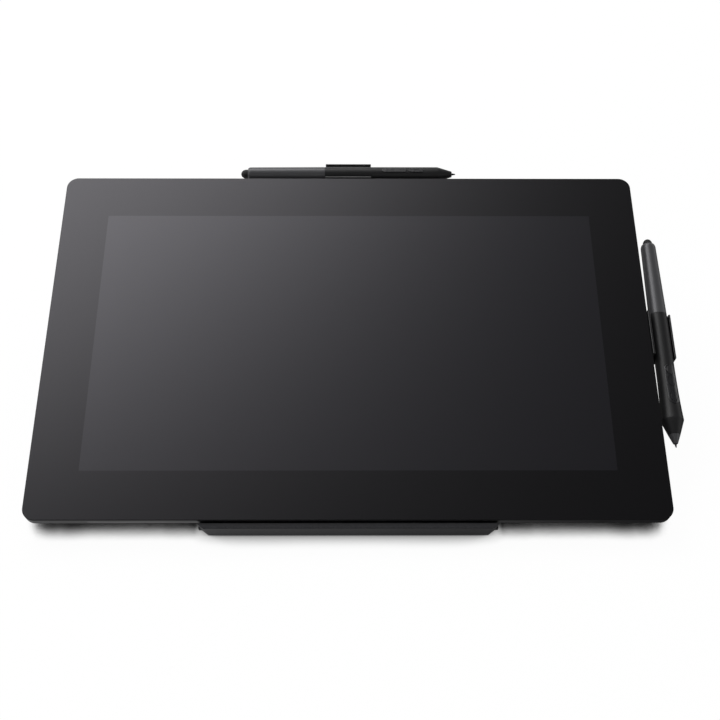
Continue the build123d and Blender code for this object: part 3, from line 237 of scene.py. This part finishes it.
def polarizer():
    """Dark polarizing film over the liquid crystal panel."""
    material, tree, shader = new_material("lcd_polarizer", "#15161b", 0.2, IOR=1.49)
    noise = grain(tree, shader, 2.0, 0.002)
    vary(tree, shader, "Roughness", noise, 0.15, 0.25)
    return material


def solder_mask():
    """Glass epoxy board under a dark green solder mask, with copper tracks showing through."""
    material, tree, shader = new_material("fr4_solder_mask", "#123a26", 0.35, IOR=1.5)
    place = display_coordinates(tree)
    tracks = add_node(
        tree,
        "ShaderNodeTexBrick",
        {
            "Color1": linear("#123a26"),
            "Color2": linear("#164630"),
            "Mortar": linear("#2c6a48"),
            "Scale": 1.0,
            "Mortar Size": 0.25 * MM,
            "Brick Width": 6 * MM,
            "Row Height": 1.2 * MM,
        },
        {"Vector": place.outputs["Vector"]},
    )
    tree.links.new(tracks.outputs["Color"], shader.inputs["Base Color"])
    grain(tree, shader, 0.8, 0.01)
    return material


def chip_resin():
    """Black epoxy moulding of the chips, slightly speckled."""
    material, tree, shader = new_material("epoxy_moulding", "#1a1a1c", 0.5, IOR=1.55)
    noise = grain(tree, shader, 0.25, 0.008)
    tint(tree, shader, noise, "#17171a", "#232327")
    return material


def die_cast():
    """Magnesium sheet and casting, pale grey with a dull conversion coat."""
    material, tree, shader = new_material("cast_magnesium", "#84868a", 0.5, Metallic=1.0)
    noise = grain(tree, shader, 1.4, 0.02, detail=4.0)
    vary(tree, shader, "Roughness", noise, 0.42, 0.6)
    return material


def polyimide():
    """Flexible ribbon of amber polyimide film."""
    material, tree, shader = new_material("polyimide_film", "#8a4b12", 0.3, IOR=1.7)
    noise = grain(tree, shader, 1.0, 0.004)
    tint(tree, shader, noise, "#7d4210", "#97551a")
    return material


def holder_plastic():
    """Black ABS holder with a fine moulded grain, satin."""
    material, tree, shader = new_material("moulded_abs_holder", "#141415", 0.42, IOR=1.53)
    noise = grain(tree, shader, 0.4, 0.012)
    vary(tree, shader, "Roughness", noise, 0.36, 0.5)
    return material


def pen_paint():
    """Grey satin paint on the barrels, with the small sparkle of its metal flake."""
    material, tree, shader = new_material(
        "satin_grey_paint", "#4c4c4e", 0.37, Metallic=0.3, Specular_IOR_Level=0.3
    )
    noise = grain(tree, shader, 0.22, 0.004)
    tint(tree, shader, noise, "#474749", "#515153")
    vary(tree, shader, "Roughness", noise, 0.33, 0.41)
    return material


def soft_touch():
    """Soft-touch coated grip, black with a faint velvet nap."""
    material, tree, shader = new_material(
        "soft_touch_rubber", "#1c1c1d", 0.46, IOR=1.5, Specular_IOR_Level=0.3
    )
    noise = grain(tree, shader, 0.3, 0.01)
    vary(tree, shader, "Roughness", noise, 0.42, 0.52)
    return material


def gloss_plastic():
    """Black polycarbonate of the pen buttons, with a fine satin polish."""
    material, tree, shader = new_material("satin_polycarbonate", "#232325", 0.24, IOR=1.585)
    noise = grain(tree, shader, 1.5, 0.002)
    vary(tree, shader, "Roughness", noise, 0.2, 0.28)
    return material


DIMPLE_SPACING = 0.7
DIMPLE_DEPTH = 0.15


def stippled_plastic():
    """The same plastic moulded with fine dimples for the fingertip, which break its gloss."""
    material, tree, shader = new_material("stippled_polycarbonate", "#1f1f21", 0.36, IOR=1.585)
    place = add_node(tree, "ShaderNodeTexCoord")
    dimples = add_node(
        tree,
        "ShaderNodeTexVoronoi",
        {"Scale": 1 / (DIMPLE_SPACING * MM)},
        {"Vector": place.outputs["Object"]},
    )
    bump = add_node(
        tree,
        "ShaderNodeBump",
        {"Strength": 1.0, "Distance": DIMPLE_DEPTH * MM},
        {"Height": dimples.outputs["Distance"]},
    )
    tree.links.new(bump.outputs["Normal"], shader.inputs["Normal"])
    return material


def nib_plastic():
    """Acetal nib, dark and waxy with a slightly worn tip."""
    material, tree, shader = new_material("acetal_nib", "#222224", 0.45, IOR=1.48)
    noise = grain(tree, shader, 0.3, 0.006)
    tint(tree, shader, noise, "#1d1d1f", "#2b2b2d")
    return material


finishes = {
    "front_glass": etched_glass(
        "etched_black_glass", "#070708", 0.355, 0.39, IOR=1.52, Specular_Tint=GLASS_TINT
    ),
    "display_shell": moulded_shell(),
    "trim": anodised_trim(),
    "black_rubber": rubber("black_rubber", "#151516", 0.5),
    "stand_metal": powder_coat(),
    "steel": bare_steel(),
    "lcd_panel": polarizer(),
    "circuit_board": solder_mask(),
    "chip_black": chip_resin(),
    "chassis_metal": die_cast(),
    "ribbon_film": polyimide(),
    "holder_plastic": holder_plastic(),
    "pen_grey": pen_paint(),
    "pen_black": soft_touch(),
    "pen_gloss": gloss_plastic(),
    "nib_plastic": nib_plastic(),
}


def finish(piece, slot):
    """Gives a piece the finish of one of the record's material slots."""
    piece.data.materials.clear()
    piece.data.materials.append(finishes[slot])


node_slots = {row["node"]: row["material_slot"] for row in frame["record"]["subparts"]}
node_bodies = {
    node: body for body, nodes in frame["record"]["behaviour"]["bodies"].items() for node in nodes
}
for node, piece in frame["nodes"].items():
    finish(piece, node_slots[node])


def pick(piece):
    """Makes one object the only selected one, and active."""
    bpy.ops.object.select_all(action="DESELECT")
    piece.select_set(True)
    bpy.context.view_layer.objects.active = piece


def modify(piece, kind, **settings):
    """Adds a modifier and applies it."""
    pick(piece)
    modifier = piece.modifiers.new(kind.lower(), kind)
    for name, value in settings.items():
        setattr(modifier, name, value)
    bpy.ops.object.modifier_apply(modifier=modifier.name)


def stand_for(piece, node, sharpest=32):
    """Gives a new piece the finish and body of the CAD node that it stands for.
    Edges up to the sharpest angle, in degrees, are shaded smooth."""
    piece.name = node + "_finished"
    pick(piece)
    bpy.ops.object.transform_apply(location=True, rotation=True, scale=True)
    bpy.ops.object.shade_smooth_by_angle(angle=math.radians(sharpest))
    modify(piece, "WEIGHTED_NORMAL", keep_sharp=True)
    finish(piece, node_slots[node])
    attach(piece, node_bodies[node])
    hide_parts(node)


# Corners that lie closer together than this are one
WELD = 0.001


def merged_copy(node, flatness=0.4):
    """Own copy of a CAD node's mesh, its loose triangles joined at the corners, and merged where
    they lie in one plane to within the flatness, in degrees."""
    piece = bpy.data.objects.new(node + "_finished", frame["nodes"][node].data.copy())
    bpy.context.scene.collection.objects.link(piece)
    pick(piece)
    if piece.data.has_custom_normals:
        bpy.ops.mesh.customdata_custom_splitnormals_clear()
    bpy.ops.object.mode_set(mode="EDIT")
    bpy.ops.mesh.select_all(action="SELECT")
    bpy.ops.mesh.remove_doubles(threshold=WELD * MM)
    bpy.ops.mesh.dissolve_limited(angle_limit=math.radians(flatness))
    bpy.ops.object.mode_set(mode="OBJECT")
    return piece


def round_edges(piece, width, segments, sharpest):
    """Rounds the edges that turn by more than the sharpest angle, in degrees."""
    modify(
        piece,
        "BEVEL",
        width=width * MM,
        segments=segments,
        limit_method="ANGLE",
        angle_limit=math.radians(sharpest),
        use_clamp_overlap=True,
    )


# Hard edges are broken by the small round that moulding, coating or deburring leaves
edge_rounds = {
    "stand_tray": 0.35,
    "stand_base": 0.3,
    "prop_left_arm": 0.3,
    "prop_right_arm": 0.3,
    "top_holder": 0.22,
    "side_holder": 0.22,
    "top_holder_liner": 0.15,
    "side_holder_liner": 0.15,
    "rear_cover": 0.25,
    "bottom_trim_strip": 0.2,
    "base_foot_strips": 0.3,
    "lip_cushion": 0.35,
    "power_button": 0.2,
    "usb_sockets": 0.06,
    "case_screws": 0.12,
    "thin_pen_grip": 0.18,
    "wide_pen_grip": 0.18,
    "wide_pen_collar": 0.3,
    "wide_pen_rear_button": 0.3,
    "wide_pen_middle_button": 0.3,
    "wide_pen_front_button": 0.3,
    "thin_pen_rear_button": 0.12,
    "thin_pen_front_button": 0.12,
}
for node, width in edge_rounds.items():
    piece = merged_copy(node)
    round_edges(piece, width, segments=3, sharpest=38)
    stand_for(piece, node)


LATHE_SIDES = 96


def lathe(start, along, rings):
    """Closed round piece, made as on a lathe: a disc extruded and resized from ring to ring.
    Each ring is a distance along the axis and a radius, both in millimetres."""
    turn = along.to_track_quat("Z", "Y").to_euler()
    reach, radius = rings[0]
    bpy.ops.object.select_all(action="DESELECT")
    bpy.ops.mesh.primitive_circle_add(
        vertices=LATHE_SIDES,
        radius=radius * MM,
        fill_type="NGON",
        location=start + along * reach * MM,
        rotation=turn,
    )
    piece = bpy.context.object
    bpy.ops.object.mode_set(mode="EDIT")
    bpy.ops.mesh.select_all(action="SELECT")
    for distance, wanted in rings[1:]:
        move = along * (distance - reach) * MM
        bpy.ops.mesh.extrude_region_move(TRANSFORM_OT_translate={"value": move})
        share = wanted / radius
        middle = start + along * distance * MM
        bpy.ops.transform.resize(value=(share, share, share), center_override=middle)
        reach, radius = distance, wanted
    bpy.ops.mesh.select_all(action="SELECT")
    bpy.ops.mesh.normals_make_consistent(inside=False)
    bpy.ops.object.mode_set(mode="OBJECT")
    return piece


def quarter(start, end, steps, hollow=False):
    """Rings of a quarter ellipse from one distance and radius to another, bulging or hollow."""
    rings = []
    for step in range(1, steps + 1):
        angle = math.radians(90 * step / steps)
        rise, run = math.sin(angle), 1 - math.cos(angle)
        if hollow:
            rise, run = run, rise
        rings.append(
            (start[0] + (end[0] - start[0]) * run, start[1] + (end[1] - start[1]) * rise)
        )
    return rings


# Both pens lie along the display's walls, and start at the tip of the eraser
thin_start, thin_way = at(-79.7, 267.9, -7.25), ACROSS
wide_start, wide_way = at(214.5, 211.85, -8.8), -UP_SLOPE

# Eraser: its dome and side, the foot that stays inside the barrel, and the thin stem below it
ERASER_TIP = 0.04
ERASER_DOME = 3.8
ERASER_RADIUS = 3.3
ERASER_FOOT = 0.6
ERASER_STEP = 0.02
ERASER_STEM_RADIUS = 1.2
ERASER_STEM_END = 11.0

# Barrel: the hole that the eraser stands in, the end of its shoulder, and the groove at the joint
HOLE_DEPTH = 1.2
HOLE_RADIUS = 3.42
MOUTH_ROUND = 0.2
SHOULDER_RUN = 0.6
SHOULDER_RISE = 0.02
GROOVE_WIDTH = 0.25
GROOVE_DEPTH = 0.2
JOINT_PLAY = 0.02


def barrel_rings(mouth, shoulder, joint):
    """Rings of a barrel: the hole for the eraser with its edge broken, the rounded shoulder, and
    the groove at the joint. Each place is a distance from the eraser's tip and a radius."""
    rings = [(mouth[0] + HOLE_DEPTH, HOLE_RADIUS), (mouth[0] + MOUTH_ROUND, HOLE_RADIUS)]
    rings += quarter(rings[-1], (mouth[0], HOLE_RADIUS + MOUTH_ROUND), steps=3)
    rings += [mouth]
    crest = (shoulder[0] + SHOULDER_RUN, shoulder[1] + SHOULDER_RISE)
    rings += quarter(mouth, crest, steps=8)
    rings += [(joint[0] - GROOVE_WIDTH, joint[1])]
    groove_floor = (joint[0] - JOINT_PLAY, joint[1] - GROOVE_DEPTH)
    rings += quarter(rings[-1], groove_floor, steps=3, hollow=True)
    return rings


def eraser_rings(end):
    """Rings of an eraser: its dome, its side to just past the barrel's end, and its stem."""
    tip = (0, ERASER_TIP)
    rings = [tip] + quarter(tip, (ERASER_DOME, ERASER_RADIUS), steps=14)
    rings += [(end, ERASER_RADIUS), (end + ERASER_FOOT, ERASER_RADIUS)]
    rings += [(end + ERASER_FOOT + ERASER_STEP, ERASER_STEM_RADIUS)]
    rings += [(ERASER_STEM_END, ERASER_STEM_RADIUS)]
    return rings


thin_barrel = barrel_rings(mouth=(5.2, 3.75), shoulder=(6.8, 5.0), joint=(62.0, 5.25))
wide_barrel = barrel_rings(mouth=(4.8, 3.9), shoulder=(7.2, 5.2), joint=(62.2, 6.15))
for node, start, way, rings in (
    ("thin_pen_barrel", thin_start, thin_way, thin_barrel),
    ("wide_pen_barrel", wide_start, wide_way, wide_barrel),
    ("thin_pen_eraser", thin_start, thin_way, eraser_rings(end=5.2)),
    ("wide_pen_eraser", wide_start, wide_way, eraser_rings(end=4.8)),
):
    stand_for(lathe(start, way, rings), node)


# The buttons of the wide pen are turned away from the display by this angle
BUTTON_TURN = math.radians(11.0)
# Only the bezel's outer face is this far from the pen's axis and turned outward this much
BEZEL_SKIN = 5.9
BEZEL_FACING = 0.7
# Chamfer round the raised field
RIM_WIDTH = 0.5
RIM_RISE = 0.16


def rimmed_bezel():
    """Bezel of the wide pen's buttons, its field raised inside a chamfer at the rim and round
    each button."""
    piece = merged_copy("wide_pen_bezel", flatness=0.01)
    bpy.ops.object.mode_set(mode="EDIT")
    bpy.ops.mesh.select_mode(type="FACE")
    bpy.ops.mesh.select_all(action="DESELECT")
    bpy.ops.object.mode_set(mode="OBJECT")
    outward = OUT * math.cos(BUTTON_TURN) + ACROSS * math.sin(BUTTON_TURN)
    for face in piece.data.polygons:
        away = face.center - wide_start
        away -= wide_way * away.dot(wide_way)
        face.select = away.length > BEZEL_SKIN * MM and face.normal.dot(outward) > BEZEL_FACING
    bpy.ops.object.mode_set(mode="EDIT")
    bpy.ops.mesh.inset(thickness=RIM_WIDTH * MM, depth=RIM_RISE * MM, use_even_offset=True)
    bpy.ops.mesh.select_mode(type="VERT")
    bpy.ops.object.mode_set(mode="OBJECT")
    round_edges(piece, width=0.12, segments=2, sharpest=25)
    stand_for(piece, "wide_pen_bezel", sharpest=12)


rimmed_bezel()
# The button nearest the eraser is the dimpled one
bpy.data.objects["wide_pen_rear_button_finished"].data.materials[0] = stippled_plastic()


# Faces of the glass that turn away from its front by more than this belong to its ground edge
FRONT_FACING = 0.98


def screen_glass():
    """Cover glass: printed black behind its border, clear over the dark screen, and ground round
    its edge."""
    piece = merged_copy("cover_glass")
    bpy.ops.object.mode_set(mode="EDIT")
    middle = DISPLAY_DEPTH / 2
    for u, v, normal in (
        (-SCREEN_WIDTH / 2, middle, ACROSS),
        (SCREEN_WIDTH / 2, middle, ACROSS),
        (0, middle - SCREEN_DEPTH / 2, UP_SLOPE),
        (0, middle + SCREEN_DEPTH / 2, UP_SLOPE),
    ):
        bpy.ops.mesh.select_all(action="SELECT")
        bpy.ops.mesh.bisect(plane_co=at(u, v, 0), plane_no=normal)
    bpy.ops.object.mode_set(mode="OBJECT")
    stand_for(piece, "cover_glass")
    piece.data.materials.append(screen_surface())
    piece.data.materials.append(ground_edge())
    centre = at(0, middle, 0)
    border, screen, edge = range(3)
    for face in piece.data.polygons:
        away = face.center - centre
        within = abs(away.dot(ACROSS)) < SCREEN_WIDTH / 2 * MM
        within = within and abs(away.dot(UP_SLOPE)) < SCREEN_DEPTH / 2 * MM
        if face.normal.dot(OUT) < FRONT_FACING:
            face.material_index = edge
        else:
            face.material_index = screen if within else border


screen_glass()


def contact_gold():
    """Gold plated copper of the contacts, bright and slightly worn by plugs."""
    material, tree, shader = new_material("gold_plated_copper", "#c9a04a", 0.28, Metallic=1.0)
    noise = grain(tree, shader, 0.2, 0.002)
    vary(tree, shader, "Roughness", noise, 0.2, 0.4)
    return material


# Contacts across, up the display and out of the tongue
CONTACT_SIZE = (3.2, 0.3, 0.08)
CONTACT_ROUND = 0.03
CONTACTS_IN_ROW = 12
CONTACT_PITCH = 0.5
ROW_SPACING = 0.72
SOCKET_SPACING = 18.0
# Middle of the tongue in the socket nearest the user
TONGUE = (-200.3, 62.0, -4.37)


def socket_contacts():
    """Twelve contacts on each face of the tongue in both sockets."""
    bpy.ops.object.select_all(action="DESELECT")
    bpy.ops.mesh.primitive_cube_add(size=1)
    piece = bpy.context.object
    piece.name = "usb_contacts"
    u, v, n = TONGUE
    first = at(u, v - (CONTACTS_IN_ROW - 1) / 2 * CONTACT_PITCH, n + ROW_SPACING / 2)
    piece.matrix_world = Matrix.Translation(first) @ (
        Matrix((ACROSS, UP_SLOPE, OUT)).transposed().to_4x4()
        @ Matrix.Diagonal([side * MM for side in CONTACT_SIZE] + [1.0])
    )
    bpy.ops.object.transform_apply(location=True, rotation=True, scale=True)
    modify(piece, "BEVEL", width=CONTACT_ROUND * MM, segments=1, limit_method="ANGLE")
    for count, step in (
        (CONTACTS_IN_ROW, UP_SLOPE * CONTACT_PITCH),
        (2, OUT * -ROW_SPACING),
        (2, UP_SLOPE * SOCKET_SPACING),
    ):
        modify(
            piece,
            "ARRAY",
            count=count,
            use_relative_offset=False,
            use_constant_offset=True,
            constant_offset_displace=step * MM,
        )
    piece.data.materials.append(contact_gold())
    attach(piece, "display")


socket_contacts()


def seen_rays(tree):
    """Light path node, and a value of 1 for the rays that show a thing directly or in a mirror."""
    path = add_node(tree, "ShaderNodeLightPath")
    seen = path.outputs["Is Camera Ray"]
    for kind in ("Is Glossy Ray", "Is Transmission Ray"):
        higher = add_node(
            tree, "ShaderNodeMath", links={0: seen, 1: path.outputs[kind]}, operation="MAXIMUM"
        )
        seen = higher.outputs[0]
    return path, seen


# Floor of the white sweep, which glows white with a painted shadow in its glow near the object; a
# small share of real shading keeps the real shadows faintly
FLOOR_SIZE = 12.0
GLOW_SHARE = 0.97
# How far round each spot of the floor the painted shadow looks for the object
PAINTED_SHADOW_REACH = 25.0
LIMITS_END = 200.0
# Distance aside from the middle, and how open to the sky the floor there is where its painted
# shadow is full and where it ends:
# the painted shadow is darker under the display's edge than before the low lip
PAINTED_SHADOW_LIMITS = (
    (95.0, 0.09, 0.67),
    (99.0, 0.31, 0.608),
    (106.0, 0.362, 0.628),
    (117.0, 0.42, 0.668),
    (165.0, 0.428, 0.68),
    (185.0, 0.468, 0.71),
    (200.0, 0.6, 0.77),
)
# The sweep's glow has a painted fall of light from left to right, from full to the least
PAINTED_LIGHT_LEFT = -130.0
PAINTED_LIGHT_RIGHT = 190.0
LEAST_PAINTED_LIGHT = 0.05

bpy.ops.mesh.primitive_plane_add(size=FLOOR_SIZE, location=(0, 0, 0))
floor = bpy.context.object
floor.name = "floor"
floor_material, floor_tree, floor_shader = new_material("white_floor", "#f4f4f4", 0.9)
floor_rays, floor_seen = seen_rays(floor_tree)
glow = add_node(floor_tree, "ShaderNodeEmission", {"Color": (1, 1, 1, 1)})
# The sweep is white up to the object, and its glow is darkened into a painted shadow only where
# the object stands close over it, as ambient occlusion measures it
openness = add_node(
    floor_tree,
    "ShaderNodeAmbientOcclusion",
    {"Distance": PAINTED_SHADOW_REACH * MM},
    samples=48,
)
spot = add_node(floor_tree, "ShaderNodeTexCoord")
spot = add_node(floor_tree, "ShaderNodeSeparateXYZ", links={"Vector": spot.outputs["Object"]})
aside = add_node(floor_tree, "ShaderNodeMath", links={0: spot.outputs["X"]}, operation="ABSOLUTE")
aside = add_node(
    floor_tree,
    "ShaderNodeMath",
    {1: 1 / (LIMITS_END * MM)},
    {0: aside.outputs[0]},
    operation="MULTIPLY",
)
limits = add_node(floor_tree, "ShaderNodeValToRGB", links={"Fac": aside.outputs[0]})
stops = limits.color_ramp.elements
while len(stops) < len(PAINTED_SHADOW_LIMITS):
    stops.new(1.0)
for index, (distance, full, none) in enumerate(PAINTED_SHADOW_LIMITS):
    stops[index].position = distance / LIMITS_END
    stops[index].color = (full, none, 0, 1)
limits = add_node(floor_tree, "ShaderNodeSeparateColor", links={"Color": limits.outputs["Color"]})
# Painted shadow: the glow fades from white to dark as the floor is less open
painted_shadow = add_node(
    floor_tree,
    "ShaderNodeMapRange",
    links={
        "Value": openness.outputs["AO"],
        "From Min": limits.outputs["Red"],
        "From Max": limits.outputs["Green"],
    },
    interpolation_type="SMOOTHSTEP",
)
# To the camera the sweep is white all over, and only what mirrors it shows the painted fall of its
# light
painted_side_falloff = add_node(
    floor_tree,
    "ShaderNodeMapRange",
    {
        "From Min": PAINTED_LIGHT_LEFT * MM,
        "From Max": PAINTED_LIGHT_RIGHT * MM,
        "To Min": 1.0,
        "To Max": LEAST_PAINTED_LIGHT,
    },
    {"Value": spot.outputs["X"]},
)
painted_side_falloff = add_node(
    floor_tree,
    "ShaderNodeMath",
    links={0: painted_side_falloff.outputs["Result"], 1: floor_rays.outputs["Is Camera Ray"]},
    operation="MAXIMUM",
)
# Strength of the glow: the painted shadow times the painted fall of light
painted_floor_light = add_node(
    floor_tree,
    "ShaderNodeMath",
    links={0: painted_shadow.outputs["Result"], 1: painted_side_falloff.outputs[0]},
    operation="MULTIPLY",
)
floor_tree.links.new(painted_floor_light.outputs[0], glow.inputs["Strength"])
glow_share = add_node(
    floor_tree,
    "ShaderNodeMath",
    {1: GLOW_SHARE},
    {0: floor_seen},
    operation="MULTIPLY",
)
floor_mix = add_node(
    floor_tree,
    "ShaderNodeMixShader",
    links={
        "Fac": glow_share.outputs[0],
        1: floor_shader.outputs["BSDF"],
        2: glow.outputs["Emission"],
    },
)
floor_output = next(n for n in floor_tree.nodes if n.type == "OUTPUT_MATERIAL")
floor_tree.links.new(floor_mix.outputs["Shader"], floor_output.inputs["Surface"])
floor.data.materials.append(floor_material)


def softbox(name, place, aim, width, height, watts):
    """Rectangular soft lamp at a place, facing a point."""
    lamp = bpy.data.lights.new(name, "AREA")
    lamp.shape = "RECTANGLE"
    lamp.size = width
    lamp.size_y = height
    lamp.energy = watts
    holder = bpy.data.objects.new(name, lamp)
    bpy.context.scene.collection.objects.link(holder)
    holder.location = place
    holder.rotation_mode = "QUATERNION"
    holder.rotation_quaternion = (Vector(aim) - Vector(place)).to_track_quat("-Z", "Y")


# One large softbox hangs behind the display on the left, where the front mirrors its edge
softbox(
    "key_softbox",
    place=(-0.84, 1.14, 1.88),
    aim=(0, 0.1, 0),
    width=2.07,
    height=1.42,
    watts=45.2,
)

# Studio round the object: dim light everywhere, a white sweep low down and a dark ceiling.
# Heights are the upward part of a direction, from 0 at the horizon to 1 overhead.
SWEEP_ENDS = 0.3
CEILING_STARTS = 0.6
CEILING = 0.02
DIM_LIGHT = 0.53
world = bpy.data.worlds.new("studio")
bpy.context.scene.world = world
world.use_nodes = True
sky = world.node_tree
sky.nodes.clear()
direction = add_node(sky, "ShaderNodeTexCoord")
height = add_node(sky, "ShaderNodeSeparateXYZ", links={"Vector": direction.outputs["Generated"]})
sweep = add_node(
    sky,
    "ShaderNodeMapRange",
    {"From Min": SWEEP_ENDS, "From Max": CEILING_STARTS, "To Min": 1.0, "To Max": CEILING},
    {"Value": height.outputs["Z"]},
    interpolation_type="SMOOTHSTEP",
)
sky_rays, sky_seen = seen_rays(sky)
# The camera sees plain white at any height, and only reflections see the dark ceiling
white = add_node(
    sky,
    "ShaderNodeMath",
    links={0: sweep.outputs["Result"], 1: sky_rays.outputs["Is Camera Ray"]},
    operation="MAXIMUM",
)
level = add_node(
    sky,
    "ShaderNodeMix",
    {"A": DIM_LIGHT},
    {"Factor": sky_seen, "B": white.outputs[0]},
    data_type="FLOAT",
)
backdrop = add_node(
    sky,
    "ShaderNodeBackground",
    {"Color": (1, 1, 1, 1)},
    {"Strength": level.outputs["Result"]},
)
add_node(sky, "ShaderNodeOutputWorld", links={"Surface": backdrop.outputs["Background"]})

# Camera where the photograph was taken from, solved from the edges of the display and the screen
camera_data = bpy.data.cameras.new("camera")
camera_data.sensor_width = 36.0
camera_data.lens = 54.086
camera = bpy.data.objects.new("camera", camera_data)
bpy.context.scene.collection.objects.link(camera)
camera.location = Vector((2.576, -420.425, 568.223)) * MM
camera.rotation_euler = [math.radians(angle) for angle in (45.1003, -0.2758, -0.2830)]
bpy.context.scene.camera = camera
bpy.context.scene.view_settings.view_transform = "Standard"
